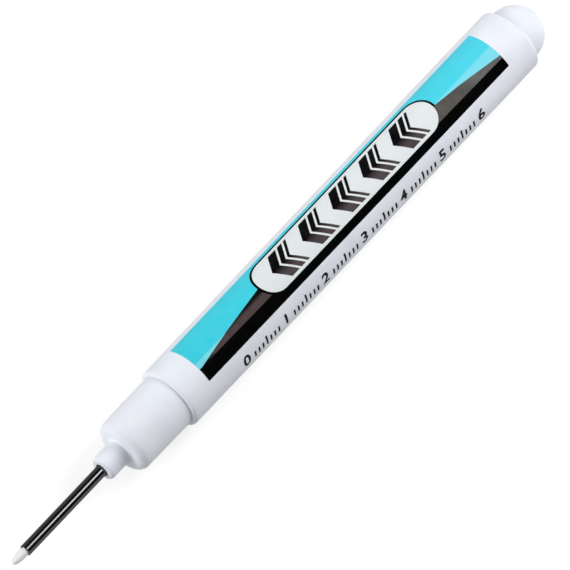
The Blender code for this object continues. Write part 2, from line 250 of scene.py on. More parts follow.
CHEVRON_DARK_HEIGHT = 4.7 * MM
CHEVRON_GROUPS = 5
CHEVRON_PITCH = 7.75 * MM
SCALE_FRONT = 8.0 * MM
SCALE_FOOT = -4.15 * MM
SCALE_CENTIMETRES = 6
TICK_PITCH = 1.0 * MM
TICK_WIDTH = 0.4 * MM
TICK_HEIGHT = 1.4 * MM
MIDDLE_TICK_HEIGHT = 2.1 * MM
TICKS_PER_CENTIMETRE = 10
CENTIMETRE = TICKS_PER_CENTIMETRE * TICK_PITCH
FIRST_TICK = 2
NUMERAL_SIZE = 3.3 * MM
NUMERAL_BOLDNESS = 0.09 * MM
INK_THICKNESS = 0.006 * MM
INK_LIFT = 0.004 * MM
INK_LAYER = 0.008 * MM
OUTWARDS = 1
STRIP_HEIGHT = 0.2 * MM

# Kinds of node tree and socket
SHADER_TREE = "ShaderNodeTree"
GEOMETRY_TREE = "GeometryNodeTree"
FLOAT = "NodeSocketFloat"
WHOLE = "NodeSocketInt"
COLOUR = "NodeSocketColor"
GEOMETRY = "NodeSocketGeometry"
MATERIAL = "NodeSocketMaterial"

# Inputs that the trees of solid pieces share
SOLID_INPUTS = {"Axis Height": FLOAT, "Sharp Angle": FLOAT, "Finish": MATERIAL}

# Places of the colour sockets on a Mix node
MIX_SHARE = 0
MIX_FIRST = 6
MIX_SECOND = 7
MIX_RESULT = 2

FULL_RANGE = (0.0, 1.0)
WHITE = (1, 1, 1, 1)


def feed(tree, socket, value):
    """Link a node's output to a socket, or set the socket to a plain value."""
    if isinstance(value, bpy.types.NodeSocket):
        tree.links.new(value, socket)
    else:
        socket.default_value = value


def add_node(tree, kind, inputs=None, **settings):
    """Add a node, set its options and feed its inputs."""
    made = tree.nodes.new(kind)
    for name, value in settings.items():
        setattr(made, name, value)
    for key, value in (inputs or {}).items():
        feed(tree, made.inputs[key], value)
    return made


def outcome(tree, kind, inputs=None, **settings):
    """First output of a new node."""
    return add_node(tree, kind, inputs, **settings).outputs[0]


def maths(tree, operation, first, second=0.0):
    """Result of a Math node."""
    return outcome(tree, "ShaderNodeMath", {0: first, 1: second}, operation=operation)


def vector(tree, x=0.0, y=0.0, z=0.0):
    """Vector put together from its parts."""
    return outcome(tree, "ShaderNodeCombineXYZ", {"X": x, "Y": y, "Z": z})


def spread(tree, value, source=FULL_RANGE, target=FULL_RANGE):
    """Map a value from one range to another, held within it."""
    low, high = source
    least, most = target
    inputs = {"Value": value, "From Min": low, "From Max": high, "To Min": least, "To Max": most}
    return outcome(tree, "ShaderNodeMapRange", inputs, clamp=True)


def blended(tree, share, first, second):
    """Colour between two colours."""
    inputs = {MIX_SHARE: share, MIX_FIRST: first, MIX_SECOND: second}
    return add_node(tree, "ShaderNodeMix", inputs, data_type="RGBA").outputs[MIX_RESULT]


def tinted(tree, tone, mask, share, tint):
    """Tone drawn towards a tint by a share of a mask."""
    return blended(tree, maths(tree, "MULTIPLY", mask, share), tone, tint)


def object_place(tree):
    """Object coordinates."""
    return add_node(tree, "ShaderNodeTexCoord").outputs["Object"]


def noise(tree, place, size=1.0, detail=2.0, distortion=0.0):
    """Value of a noise texture with spots of a given size."""
    scale = maths(tree, "DIVIDE", 1.0, size)
    inputs = {"Vector": place, "Scale": scale, "Detail": detail, "Distortion": distortion}
    return outcome(tree, "ShaderNodeTexNoise", inputs)


def streaks(tree, place, length, width, detail):
    """Noise drawn out into lines along X."""
    size = vector(tree, length, width, width)
    drawn_out = outcome(tree, "ShaderNodeVectorMath", {0: place, 1: size}, operation="DIVIDE")
    return noise(tree, drawn_out, detail=detail)


def add_group(name, kind, inputs, outputs):
    """A node group with named sockets, what it is given and what it puts out."""
    tree = bpy.data.node_groups.new(name, kind)
    for way, sockets in (("INPUT", inputs), ("OUTPUT", outputs)):
        for label, socket_type in sockets.items():
            tree.interface.new_socket(label, in_out=way, socket_type=socket_type)
    given = tree.nodes.new("NodeGroupInput")
    result = tree.nodes.new("NodeGroupOutput")
    return tree, given.outputs, result.inputs


# Effects that the finishes share
MOTTLE_RANGE = (0.3, 0.7)
SMUDGE_RANGE = (0.45, 0.75)
SCRATCH_RANGE = (0.7, 0.78)
SCRATCH_AXIS = (0.3, 0.2, 0.93)
SCRATCH_TURN = math.radians(28)
LINE_RANGE = (0.3, 0.7)
INK_PATCH_SIZE = 2.0 * MM
INK_PATCH_RANGE = (0.3, 0.8)
INK_MESH_SIZE = 0.14 * MM
INK_MESH_DEPTH = 0.002 * MM
INK_THINNING = 0.9
INK_ROUGHNESS = (0.42, 0.54)


def make_moulded_grain():
    """Fine grain and slow unevenness of a moulded surface."""
    tree, given, result = add_group(
        "moulded_grain",
        SHADER_TREE,
        {"Grain Size": FLOAT, "Mottle Size": FLOAT, "Waviness": FLOAT},
        {"Height": FLOAT, "Mottle": FLOAT},
    )
    place = object_place(tree)
    fine = noise(tree, place, given["Grain Size"])
    slow = noise(tree, place, given["Mottle Size"], detail=5.0)
    waves = maths(tree, "MULTIPLY", slow, given["Waviness"])
    feed(tree, result["Height"], maths(tree, "ADD", fine, waves))
    feed(tree, result["Mottle"], spread(tree, slow, MOTTLE_RANGE))
    return tree


def make_handling_marks():
    """Finger smudges and hairline scratches of use."""
    tree, given, result = add_group(
        "handling_marks",
        SHADER_TREE,
        {"Smudge Size": FLOAT, "Scratch Length": FLOAT, "Scratch Width": FLOAT},
        {"Smudges": FLOAT, "Scratches": FLOAT},
    )
    place = object_place(tree)
    smudges = noise(tree, place, given["Smudge Size"], detail=4.0, distortion=0.6)
    feed(tree, result["Smudges"], spread(tree, smudges, SMUDGE_RANGE))
    turn = {"Vector": place, "Axis": SCRATCH_AXIS, "Angle": SCRATCH_TURN}
    turned_place = outcome(tree, "ShaderNodeVectorRotate", turn)
    length = given["Scratch Length"]
    width = given["Scratch Width"]
    scratches = streaks(tree, turned_place, length, width, detail=1.0)
    feed(tree, result["Scratches"], spread(tree, scratches, SCRATCH_RANGE))
    return tree


def make_drawn_lines():
    """Fine lines along the marker, from drawing a tube or from a bundle of fibres."""
    tree, given, result = add_group(
        "drawn_lines",
        SHADER_TREE,
        {"Line Length": FLOAT, "Line Width": FLOAT},
        {"Lines": FLOAT},
    )
    lines = streaks(tree, object_place(tree), given["Line Length"], given["Line Width"], detail=3.0)
    feed(tree, result["Lines"], lines)
    return tree


def make_label_place():
    """Where a point lies on the label: along it, and up round the barrel from its lower edge."""
    tree, _, result = add_group("label_place", SHADER_TREE, {}, {"Along": FLOAT, "Up": FLOAT})
    parts = add_node(tree, "ShaderNodeSeparateXYZ", {"Vector": object_place(tree)}).outputs
    side = maths(tree, "MULTIPLY", parts["Y"], -1.0)
    height = maths(tree, "SUBTRACT", parts["Z"], AXIS_HEIGHT)
    turn = maths(tree, "ARCTAN2", side, height)
    rise = maths(tree, "SUBTRACT", LABEL_FOOT_TURN, turn)
    feed(tree, result["Along"], maths(tree, "SUBTRACT", parts["X"], LABEL_FRONT))
    feed(tree, result["Up"], maths(tree, "MULTIPLY", rise, WRAP_RADIUS))
    return tree


def make_ink_coat():
    """Ink laid through a screen: patches of uneven density, and the print of a fine mesh."""
    tree, given, result = add_group(
        "ink_coat",
        SHADER_TREE,
        {"Colour": COLOUR, "Thin Colour": COLOUR, "Mesh Size": FLOAT},
        {"Colour": COLOUR, "Roughness": FLOAT, "Height": FLOAT},
    )
    place = object_place(tree)
    patches = spread(tree, noise(tree, place, INK_PATCH_SIZE, detail=4.0), INK_PATCH_RANGE)
    mesh = noise(tree, place, given["Mesh Size"], detail=1.0)
    thin_spots = maths(tree, "MULTIPLY", patches, mesh)
    coat = tinted(tree, given["Colour"], thin_spots, INK_THINNING, given["Thin Colour"])
    feed(tree, result["Colour"], coat)
    feed(tree, result["Roughness"], spread(tree, patches, target=INK_ROUGHNESS))
    feed(tree, result["Height"], mesh)
    return tree


MOULDED_GRAIN = make_moulded_grain()
HANDLING_MARKS = make_handling_marks()
DRAWN_LINES = make_drawn_lines()
LABEL_PLACE = make_label_place()
INK_COAT = make_ink_coat()


def socket_name(label):
    """Name of a socket, from a value's name in small letters."""
    return label.replace("_", " ").title().replace("Ior", "IOR")


def use_group(tree, group, **inputs):
    """Outputs of a shared effect placed in a material with its own values."""
    named = {socket_name(label): value for label, value in inputs.items()}
    return add_node(tree, "ShaderNodeGroup", named, node_tree=group).outputs


def new_finish(name, **settings):
    """A material with its tree and its shader, whose plain values are set here."""
    finish = bpy.data.materials.new(name)
    finish.use_nodes = True
    tree = finish.node_tree
    shader = tree.nodes["Principled BSDF"].inputs
    for label, value in settings.items():
        shader[socket_name(label)].default_value = value
    return finish, tree, shader


def add_bump(tree, shader, height, depth):
    """Relief of a given depth in metres."""
    relief = {"Height": height, "Distance": depth, "Strength": 1.0}
    feed(tree, shader["Normal"], outcome(tree, "ShaderNodeBump", relief))


def make_white_plastic():
    """Satin plastic of the outer mouldings, a little soiled and scratched by use."""
    low_tone = (0.81, 0.84, 0.917, 1)
    high_tone = (0.86, 0.888, 0.952, 1)
    smudge_tone = (0.7, 0.7, 0.72, 1)
    scratch_tone = (0.55, 0.56, 0.6, 1)
    roughness = (0.46, 0.36)
    finish, tree, shader = new_finish("white_plastic", specular_ior_level=0.25)
    grain = use_group(
        tree,
        MOULDED_GRAIN,
        grain_size=0.16 * MM,
        mottle_size=5.0 * MM,
        waviness=12.0,
    )
    marks = use_group(
        tree,
        HANDLING_MARKS,
        smudge_size=7.0 * MM,
        scratch_length=5.0 * MM,
        scratch_width=0.06 * MM,
    )
    clean = blended(tree, grain["Mottle"], low_tone, high_tone)
    soiled = tinted(tree, clean, marks["Smudges"], share=0.16, tint=smudge_tone)
    scratched = tinted(tree, soiled, marks["Scratches"], share=0.14, tint=scratch_tone)
    feed(tree, shader["Base Color"], scratched)
    feed(tree, shader["Roughness"], spread(tree, marks["Smudges"], target=roughness))
    add_bump(tree, shader, grain["Height"], depth=0.003 * MM)
    return finish


def make_dark_steel():
    """Dark polished steel, with faint lines from drawing the tube."""
    low_tone = (0.08, 0.08, 0.082, 1)
    high_tone = (0.095, 0.095, 0.098, 1)
    scratch_tone = (0.17, 0.17, 0.17, 1)
    edge_tone = (0.3, 0.3, 0.31, 1)
    roughness = (0.07, 0.1)
    finish, tree, shader = new_finish("dark_polished_steel", metallic=1.0, specular_tint=edge_tone)
    lines = use_group(tree, DRAWN_LINES, line_length=14.0 * MM, line_width=0.07 * MM)["Lines"]
    marks = use_group(
        tree,
        HANDLING_MARKS,
        smudge_size=2.5 * MM,
        scratch_length=1.5 * MM,
        scratch_width=0.03 * MM,
    )
    steel = blended(tree, lines, low_tone, high_tone)
    scratched = tinted(tree, steel, marks["Scratches"], share=0.1, tint=scratch_tone)
    feed(tree, shader["Base Color"], scratched)
    feed(tree, shader["Roughness"], spread(tree, lines, LINE_RANGE, roughness))
    return finish


def make_nib_fibre():
    """Pressed fibres that run along the nib, paler where they are matted."""
    gap_tone = (0.83, 0.83, 0.83, 1)
    strand_tone = (0.91, 0.91, 0.91, 1)
    matted_tone = (0.92, 0.92, 0.92, 1)
    roughness = (0.95, 0.8)
    finish, tree, shader = new_finish("nib_fibre", specular_ior_level=0.2, sheen_weight=0.15)
    lines = use_group(tree, DRAWN_LINES, line_length=2.5 * MM, line_width=0.05 * MM)["Lines"]
    grain = use_group(tree, MOULDED_GRAIN, grain_size=0.05 * MM, mottle_size=0.8 * MM)
    strands = spread(tree, lines, LINE_RANGE)
    fibre = blended(tree, strands, gap_tone, strand_tone)
    matted = tinted(tree, fibre, grain["Mottle"], share=0.25, tint=matted_tone)
    feed(tree, shader["Base Color"], matted)
    feed(tree, shader["Roughness"], spread(tree, strands, target=roughness))
    add_bump(tree, shader, maths(tree, "ADD", lines, grain["Height"]), depth=0.008 * MM)
    return finish


def make_bright_steel():
    """Bright steel of the spring and the ball, dulled in patches."""
    bright_tone = (0.66, 0.66, 0.67, 1)
    dull_tone = (0.55, 0.55, 0.56, 1)
    scratch_tone = (0.4, 0.4, 0.4, 1)
    roughness = (0.16, 0.3)
    finish, tree, shader = new_finish("bright_steel", metallic=1.0)
    marks = use_group(
        tree,
        HANDLING_MARKS,
        smudge_size=1.5 * MM,
        scratch_length=1.2 * MM,
        scratch_width=0.04 * MM,
    )
    steel = blended(tree, marks["Smudges"], bright_tone, dull_tone)
    scratched = tinted(tree, steel, marks["Scratches"], share=0.5, tint=scratch_tone)
    feed(tree, shader["Base Color"], scratched)
    feed(tree, shader["Roughness"], spread(tree, marks["Smudges"], target=roughness))
    return finish


def make_plain_moulding(name, tones, roughness, grain_size, mottle_size, depth, **settings):
    """Moulded plastic or rubber from inside the marker, mottled in tone and gloss."""
    finish, tree, shader = new_finish(name, **settings)
    grain = use_group(tree, MOULDED_GRAIN, grain_size=grain_size, mottle_size=mottle_size)
    feed(tree, shader["Base Color"], blended(tree, grain["Mottle"], *tones))
    feed(tree, shader["Roughness"], spread(tree, grain["Mottle"], target=roughness))
    add_bump(tree, shader, grain["Height"], depth)
    return finish


def make_ink(name, colour, thin_colour, runs=(), specular=0.25):
    """Ink of one colour, which may run into other colours along or up the label."""
    finish, tree, shader = new_finish(name, specular_ior_level=specular)
    tone = colour
    for way, start, end, next_colour in runs:
        share = spread(tree, use_group(tree, LABEL_PLACE)[way], (start, end))
        tone = blended(tree, share, tone, next_colour)
    ink = use_group(tree, INK_COAT, colour=tone, thin_colour=thin_colour, mesh_size=INK_MESH_SIZE)
    feed(tree, shader["Base Color"], ink["Colour"])
    feed(tree, shader["Roughness"], ink["Roughness"])
    add_bump(tree, shader, ink["Height"], INK_MESH_DEPTH)
    return finish


# Tones that an ink runs into; the hill's tones are a painted reflection of the strip lamp on its
# black ink
BLACK_TONE = (0.0012, 0.0012, 0.0014, 1)
CYAN_REAR_TONE = (0.07, 0.65, 0.8, 1)
HILL_LIT_TONE = (0.092, 0.0625, 0.064, 1)
HILL_PAINTED_SHEEN_REAR_TONE = (0.113, 0.108, 0.0975, 1)
HILL_PAINTED_SHEEN_PALE_TONE = (0.145, 0.148, 0.143, 1)

white_plastic = make_white_plastic()
dark_steel = make_dark_steel()
nib_fibre = make_nib_fibre()
natural_plastic = make_plain_moulding(
    "natural_plastic",
    tones=((0.7, 0.71, 0.67, 1), (0.76, 0.77, 0.75, 1)),
    roughness=(0.4, 0.5),
    grain_size=0.1 * MM,
    mottle_size=2.0 * MM,
    depth=0.003 * MM,
    subsurface_weight=0.2,
    subsurface_radius=(1.0, 0.9, 0.8),
    subsurface_scale=0.4 * MM,
)
gasket_rubber = make_plain_moulding(
    "gasket_rubber",
    tones=((0.022, 0.022, 0.023, 1), (0.05, 0.05, 0.05, 1)),
    roughness=(0.65, 0.8),
    grain_size=0.06 * MM,
    mottle_size=1.0 * MM,
    depth=0.006 * MM,
    specular_ior_level=0.3,
)
bright_steel = make_bright_steel()
cyan_ink = make_ink(
    "cyan_ink",
    colour=(0.042, 0.62, 0.755, 1),
    thin_colour=(0.1, 0.68, 0.8, 1),
    runs=[("Along", 0, LABEL_LENGTH, CYAN_REAR_TONE)],
)
pale_cyan_ink = make_ink(
    "pale_cyan_ink",
    colour=(0.18, 0.69, 0.82, 1),
    thin_colour=(0.26, 0.74, 0.85, 1),
)
# The hill is black ink with a painted reflection: grey below its top and behind its front end,
# paler near its rear end
grey_ink = make_ink(
    "grey_ink",
    colour=BLACK_TONE,
    thin_colour=(0.02, 0.018, 0.017, 1),
    runs=[
        ("Along", HILL_DARK_FRONT, HILL_LIT_FRONT, HILL_LIT_TONE),
        ("Up", HILL_LIT_HEIGHT, HILL_DARK_HEIGHT, BLACK_TONE),
        ("Along", PILL_FRONT, PILL_FRONT + PILL_LENGTH, HILL_PAINTED_SHEEN_REAR_TONE),
        ("Along", HILL_PALE_SHEEN_FRONT, HILL_PALE_SHEEN_REAR, HILL_PAINTED_SHEEN_PALE_TONE),
    ],
    specular=0.05,
)
black_ink = make_ink(
    "black_ink",
    colour=BLACK_TONE,
    thin_colour=(0.004, 0.004, 0.004, 1),
    specular=0.02,
)
white_ink = make_ink(
    "white_ink",
    colour=(0.76, 0.8, 0.815, 1),
    thin_colour=(0.72, 0.78, 0.8, 1),
)
# The chevrons are black ink with a painted reflection: a dark grey sheen on their lower part that
# fades to black higher up
chevron_ink_painted_sheen = make_ink(
    "chevron_ink_painted_sheen",
    colour=(0.09, 0.07, 0.074, 1),
    thin_colour=(0.02, 0.018, 0.018, 1),
    runs=[("Up", CHEVRON_LIT_HEIGHT, CHEVRON_DARK_HEIGHT, BLACK_TONE)],
    specular=0.05,
)
scale_ink = make_ink(
    "scale_ink",
    colour=(0.006, 0.006, 0.008, 1),
    thin_colour=(0.02, 0.02, 0.024, 1),
    specular=0.05,
)


def swing(tree, geometry, start, turn, axis_height):
    """Put points at places swung round the marker's axis."""
    swung = outcome(
        tree,
        "ShaderNodeVectorRotate",
        {"Vector": start, "Angle": turn},
        rotation_type="X_AXIS",
    )
    inputs = {"Geometry": geometry, "Position": swung, "Offset": vector(tree, z=axis_height)}
    return outcome(tree, "GeometryNodeSetPosition", inputs)


def repeat(tree, points, shape):
    """Real copies of a shape on points."""
    inputs = {"Points": points, "Instance": shape}
    copies = outcome(tree, "GeometryNodeInstanceOnPoints", inputs)
    return outcome(tree, "GeometryNodeRealizeInstances", {"Geometry": copies})


def paint(tree, geometry, finish, end):
    """Make sure that a tree's mesh is real, give it its finish and put it out."""
    plain = outcome(tree, "GeometryNodeRealizeInstances", {"Geometry": geometry})
    inputs = {"Geometry": plain, "Material": finish}
    feed(tree, end, outcome(tree, "GeometryNodeSetMaterial", inputs))


def finish_tree(tree, geometry, given, end):
    """Shade a tree's mesh smooth between its sharp edges and give it its finish."""
    angle = outcome(tree, "GeometryNodeInputMeshEdgeAngle")
    soft = maths(tree, "LESS_THAN", angle, given["Sharp Angle"])
    smooth = outcome(tree, "GeometryNodeSetShadeSmooth", {"Geometry": geometry}, domain="FACE")
    creased = outcome(
        tree,
        "GeometryNodeSetShadeSmooth",
        {"Geometry": smooth, "Shade Smooth": soft},
        domain="EDGE",
    )
    paint(tree, creased, given["Finish"], end)


def make_turned_tree():
    """Profile points in order, at (x, 0, radius), turned about the marker's axis."""
    tree, given, result = add_group(
        "turned_piece",
        GEOMETRY_TREE,
        {
            "Profile": GEOMETRY,
            "Sides": WHOLE,
            "Merge Distance": FLOAT,
            **SOLID_INPUTS,
        },
        {"Piece": GEOMETRY},
    )
    profile = given["Profile"]
    rows = outcome(tree, "GeometryNodeAttributeDomainSize", {"Geometry": profile})
    columns = maths(tree, "ADD", given["Sides"], 1)
    grid = outcome(tree, "GeometryNodeMeshGrid", {"Vertices X": rows, "Vertices Y": columns})
    index = outcome(tree, "GeometryNodeInputIndex")
    past_edge = maths(tree, "ADD", index, ROUNDING_GUARD)
    row = maths(tree, "FLOOR", maths(tree, "DIVIDE", past_edge, columns))
    column = maths(tree, "SUBTRACT", index, maths(tree, "MULTIPLY", row, columns))
    place = outcome(tree, "GeometryNodeInputPosition")
    profile_point = outcome(
        tree,
        "GeometryNodeSampleIndex",
        {"Geometry": profile, "Value": place, "Index": row},
        data_type="FLOAT_VECTOR",
    )
    side_angle = maths(tree, "DIVIDE", -math.tau, given["Sides"])
    turn = maths(tree, "MULTIPLY", column, side_angle)
    placed = swing(tree, grid, profile_point, turn, given["Axis Height"])
    closed = outcome(
        tree,
        "GeometryNodeMergeByDistance",
        {"Geometry": placed, "Distance": given["Merge Distance"]},
    )
    faces = outcome(tree, "GeometryNodeInputMeshEdgeNeighbors")
    bare_edge = maths(tree, "LESS_THAN", faces, 1)
    solid = outcome(
        tree,
        "GeometryNodeDeleteGeometry",
        {"Geometry": closed, "Selection": bare_edge},
        domain="EDGE",
    )
    finish_tree(tree, solid, given, result["Piece"])
    return tree


def make_drilled_tree():
    """A ring of round holes or notches, cut along the axis through a turned piece."""
    tree, given, result = add_group(
        "drilled_piece",
        GEOMETRY_TREE,
        {
            "Piece": GEOMETRY,
            "Holes": WHOLE,
            "Pitch Radius": FLOAT,
            "Hole Radius": FLOAT,
            "Hole Sides": WHOLE,
            "Middle": FLOAT,
            "Depth": FLOAT,
            **SOLID_INPUTS,
        },
        {"Piece": GEOMETRY},
    )
    ring = outcome(
        tree,
        "GeometryNodeMeshCircle",
        {"Vertices": given["Holes"], "Radius": given["Pitch Radius"]},
    )
    drill_bit = outcome(
        tree,
        "GeometryNodeMeshCylinder",
        {"Vertices": given["Hole Sides"], "Radius": given["Hole Radius"], "Depth": given["Depth"]},
    )
    aimed = outcome(
        tree,
        "GeometryNodeTransform",
        {
            "Geometry": repeat(tree, ring, drill_bit),
            "Translation": vector(tree, x=given["Middle"], z=given["Axis Height"]),
            "Rotation": (0, QUARTER_TURN, 0),
        },
    )
    cut = outcome(
        tree,
        "GeometryNodeMeshBoolean",
        {"Mesh 1": given["Piece"], "Mesh 2": aimed},
        operation="DIFFERENCE",
        solver="EXACT",
    )
    finish_tree(tree, cut, given, result["Piece"])
    return tree


def make_coil_tree():
    """Round wire wound in even curls about the marker's axis, in place of an empty mesh."""
    tree, given, result = add_group(
        "wound_wire",
        GEOMETRY_TREE,
        {
            "Empty Mesh": GEOMETRY,
            "Curls": WHOLE,
            "Curl Points": WHOLE,
            "Front": FLOAT,
            "Rear": FLOAT,
            "Coil Radius": FLOAT,
            "Wire Radius": FLOAT,
            "Wire Sides": WHOLE,
            **SOLID_INPUTS,
        },
        {"Piece": GEOMETRY},
    )
    steps = maths(tree, "MULTIPLY", given["Curls"], given["Curl Points"])
    line = outcome(tree, "GeometryNodeMeshLine", {"Count": maths(tree, "ADD", steps, 1)})
    index = outcome(tree, "GeometryNodeInputIndex")
    length = maths(tree, "SUBTRACT", given["Rear"], given["Front"])
    share = maths(tree, "DIVIDE", index, steps)
    station = maths(tree, "ADD", given["Front"], maths(tree, "MULTIPLY", length, share))
    turn = maths(tree, "MULTIPLY", index, maths(tree, "DIVIDE", math.tau, given["Curl Points"]))
    start = vector(tree, x=station, y=given["Coil Radius"])
    wound = swing(tree, line, start, turn, given["Axis Height"])
    path = outcome(tree, "GeometryNodeMeshToCurve", {"Mesh": wound})
    section = outcome(
        tree,
        "GeometryNodeCurvePrimitiveCircle",
        {"Resolution": given["Wire Sides"], "Radius": given["Wire Radius"]},
    )
    wire = outcome(
        tree,
        "GeometryNodeCurveToMesh",
        {"Curve": path, "Profile Curve": section, "Fill Caps": True},
    )
    finish_tree(tree, wire, given, result["Piece"])
    return tree


def make_print_tree():
    """Flat shapes repeated along the label, then laid round the tapered barrel."""
    tree, given, result = add_group(
        "barrel_print",
        GEOMETRY_TREE,
        {"Shape": GEOMETRY, "Copies": WHOLE, "Pitch": FLOAT, "Lift": FLOAT, "Finish": MATERIAL},
        {"Print": GEOMETRY},
    )
    step = vector(tree, x=given["Pitch"])
    row = outcome(tree, "GeometryNodeMeshLine", {"Count": given["Copies"], "Offset": step})
    flat = repeat(tree, row, given["Shape"])
    place = outcome(tree, "GeometryNodeInputPosition")
    parts = add_node(tree, "ShaderNodeSeparateXYZ", {"Vector": place}).outputs
    station = maths(tree, "ADD", parts["X"], LABEL_FRONT)
    behind_edge = maths(tree, "SUBTRACT", station, BARREL_FRONT)
    taper = BARREL_DRAFT / (BARREL_REAR - BARREL_FRONT)
    growth = maths(tree, "MULTIPLY", behind_edge, taper)
    bare_radius = maths(tree, "ADD", growth, BARREL_FRONT_RADIUS)
    radius = maths(tree, "ADD", bare_radius, given["Lift"])
    rise = maths(tree, "DIVIDE", parts["Y"], WRAP_RADIUS)
    turn = maths(tree, "SUBTRACT", LABEL_FOOT_TURN, rise)
    laid = swing(tree, flat, vector(tree, x=station, z=radius), turn, AXIS_HEIGHT)
    paint(tree, laid, given["Finish"], result["Print"])
    return tree


TURNED_TREE = make_turned_tree()
DRILLED_TREE = make_drilled_tree()
COIL_TREE = make_coil_tree()
PRINT_TREE = make_print_tree()


def carry(name, data):
    """An object in the scene for a mesh, a text, a lamp or a lens."""
    holder = bpy.data.objects.new(name, data)
    scene.collection.objects.link(holder)
    return holder


def add_tree(piece, tree, finish, **values):
    """Put a geometry tree on a piece, with its inputs set by their sockets' identifiers."""
    given = {"Finish": finish, "Axis Height": AXIS_HEIGHT, "Sharp Angle": SHARP_ANGLE}
    for label, value in values.items():
        given[socket_name(label)] = value
    modifier = piece.modifiers.new(tree.name, "NODES")
    modifier.node_group = tree
    for socket in tree.interface.items_tree:
        if socket.in_out == "INPUT" and socket.name in given:
            modifier[socket.identifier] = given[socket.name]


def plain_mesh(piece):
    """A plain mesh of a piece as its modifiers leave it."""
    graph = bpy.context.evaluated_depsgraph_get()
    return bpy.data.meshes.new_from_object(piece.evaluated_get(graph))


def fit(piece, body, slot, *nodes):
    """Make a piece plain, let it ride on its body and hide the CAD parts that it stands for."""
    mesh = plain_mesh(piece)
    piece.modifiers.clear()
    piece.data = mesh
    mesh.name = piece.name
    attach(piece, body)
    if nodes:
        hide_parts(*nodes)
    return piece


def sharp(*corners):
    """Corners with no fillet."""
    return [(station, radius, 0) for station, radius in corners]


def broken(*corners):
    """Corners with the small fillet that a moulded edge has."""
    return [(station, radius, EDGE_BREAK) for station, radius in corners]


def snap_ring(middle, radius, width):
    """Corners of a low ring that stands out from a radius, nib side first."""
    return sharp(
        (middle - width / 2, radius),
        (middle, radius + SNAP_HEIGHT),
        (middle + width / 2, radius),
    )


def rounded(corners, closed):
    """Profile points for corners given as (x, radius, fillet)."""
    points = []
    count = len(corners)
    for index, (station, radius, fillet) in enumerate(corners):
        corner = Vector((station, radius))
        is_end = not closed and index in (0, count - 1)
        if fillet == 0 or is_end:
            points.append(corner)
            continue
        before = Vector(corners[index - 1][:2]) - corner
        after = Vector(corners[(index + 1) % count][:2]) - corner
        half_angle = before.angle(after) / 2
        shorter_side = min(before.length, after.length)
        reach = min(fillet / math.tan(half_angle), shorter_side * LARGEST_FILLET_SHARE)
        arc_radius = reach * math.tan(half_angle)
        bisector = (before.normalized() + after.normalized()).normalized()
        centre = corner + bisector * (arc_radius / math.sin(half_angle))
        first = corner + before.normalized() * reach - centre
        last = corner + after.normalized() * reach - centre
        for step in range(FILLET_STEPS + 1):
            points.append(centre + first.slerp(last, step / FILLET_STEPS) * arc_radius)
    if closed:
        points.append(points[0].copy())
    return points


def arc(centre, radius, first_angle, last_angle, steps):
    """Points on an arc about a point on the axis, with angles from the tail's direction."""
    points = []
    for step in range(steps + 1):
        angle = first_angle + (last_angle - first_angle) * step / steps
        points.append(Vector((centre + radius * math.cos(angle), radius * math.sin(angle))))
    return points


def held(points):
    """Points with one more close to both ends of each long straight, so that it shades flat."""
    result = [points[0]]
    for before, after in zip(points, points[1:]):
        way = after - before
        if way.length > HELD_STRAIGHT:
            result.append(before + way.normalized() * HOLD_LENGTH)
            result.append(after - way.normalized() * HOLD_LENGTH)
        result.append(after)
    return result


def turned(name, points, finish, sides=BARREL_SIDES, axis_height=AXIS_HEIGHT):
    """A profile turned about the axis. It runs from nib to tail outside, and back inside."""
    mesh = bpy.data.meshes.new(name)
    mesh.from_pydata([(point.x, 0, point.y) for point in held(points)], [], [])
    piece = carry(name, mesh)
    add_tree(
        piece,
        TURNED_TREE,
        finish,
        sides=sides,
        axis_height=axis_height,
        merge_distance=MERGE_DISTANCE,
    )
    return piece


def drill(piece, finish, holes, pitch_radius, hole_radius, front, rear):
    """Cut a ring of holes along the axis, which run on past both ends of what they pass through."""
    add_tree(
        piece,
        DRILLED_TREE,
        finish,
        holes=holes,
        pitch_radius=pitch_radius,
        hole_radius=hole_radius,
        hole_sides=FINE_SIDES,
        middle=(front + rear) / 2,
        depth=2 * (rear - front),
    )


def make_barrel():
    """Barrel, open at both ends, with a groove in its bore for each snap ring."""
    groove_width = SNAP_WIDTH + 2 * SNAP_SLACK
    corners = [
        (BARREL_FRONT, BARREL_FRONT_RADIUS, BARREL_FRONT_FILLET),
        (BARREL_REAR, BARREL_RADIUS, BARREL_REAR_FILLET),
        *sharp(
            (BARREL_REAR, BORE_RADIUS + BORE_LEAD_IN),
            (BARREL_REAR - BORE_LEAD_IN, BORE_RADIUS),
        ),
        *snap_ring(REAR_SNAP, BORE_RADIUS, groove_width)[::-1],
        *snap_ring(FRONT_SNAP, BORE_RADIUS, groove_width)[::-1],
        *sharp(
            (BARREL_FRONT + BORE_LEAD_IN, BORE_RADIUS),
            (BARREL_FRONT, BORE_RADIUS + BORE_LEAD_IN),
        ),
    ]
    return turned("marker_barrel", rounded(corners, True), white_plastic)


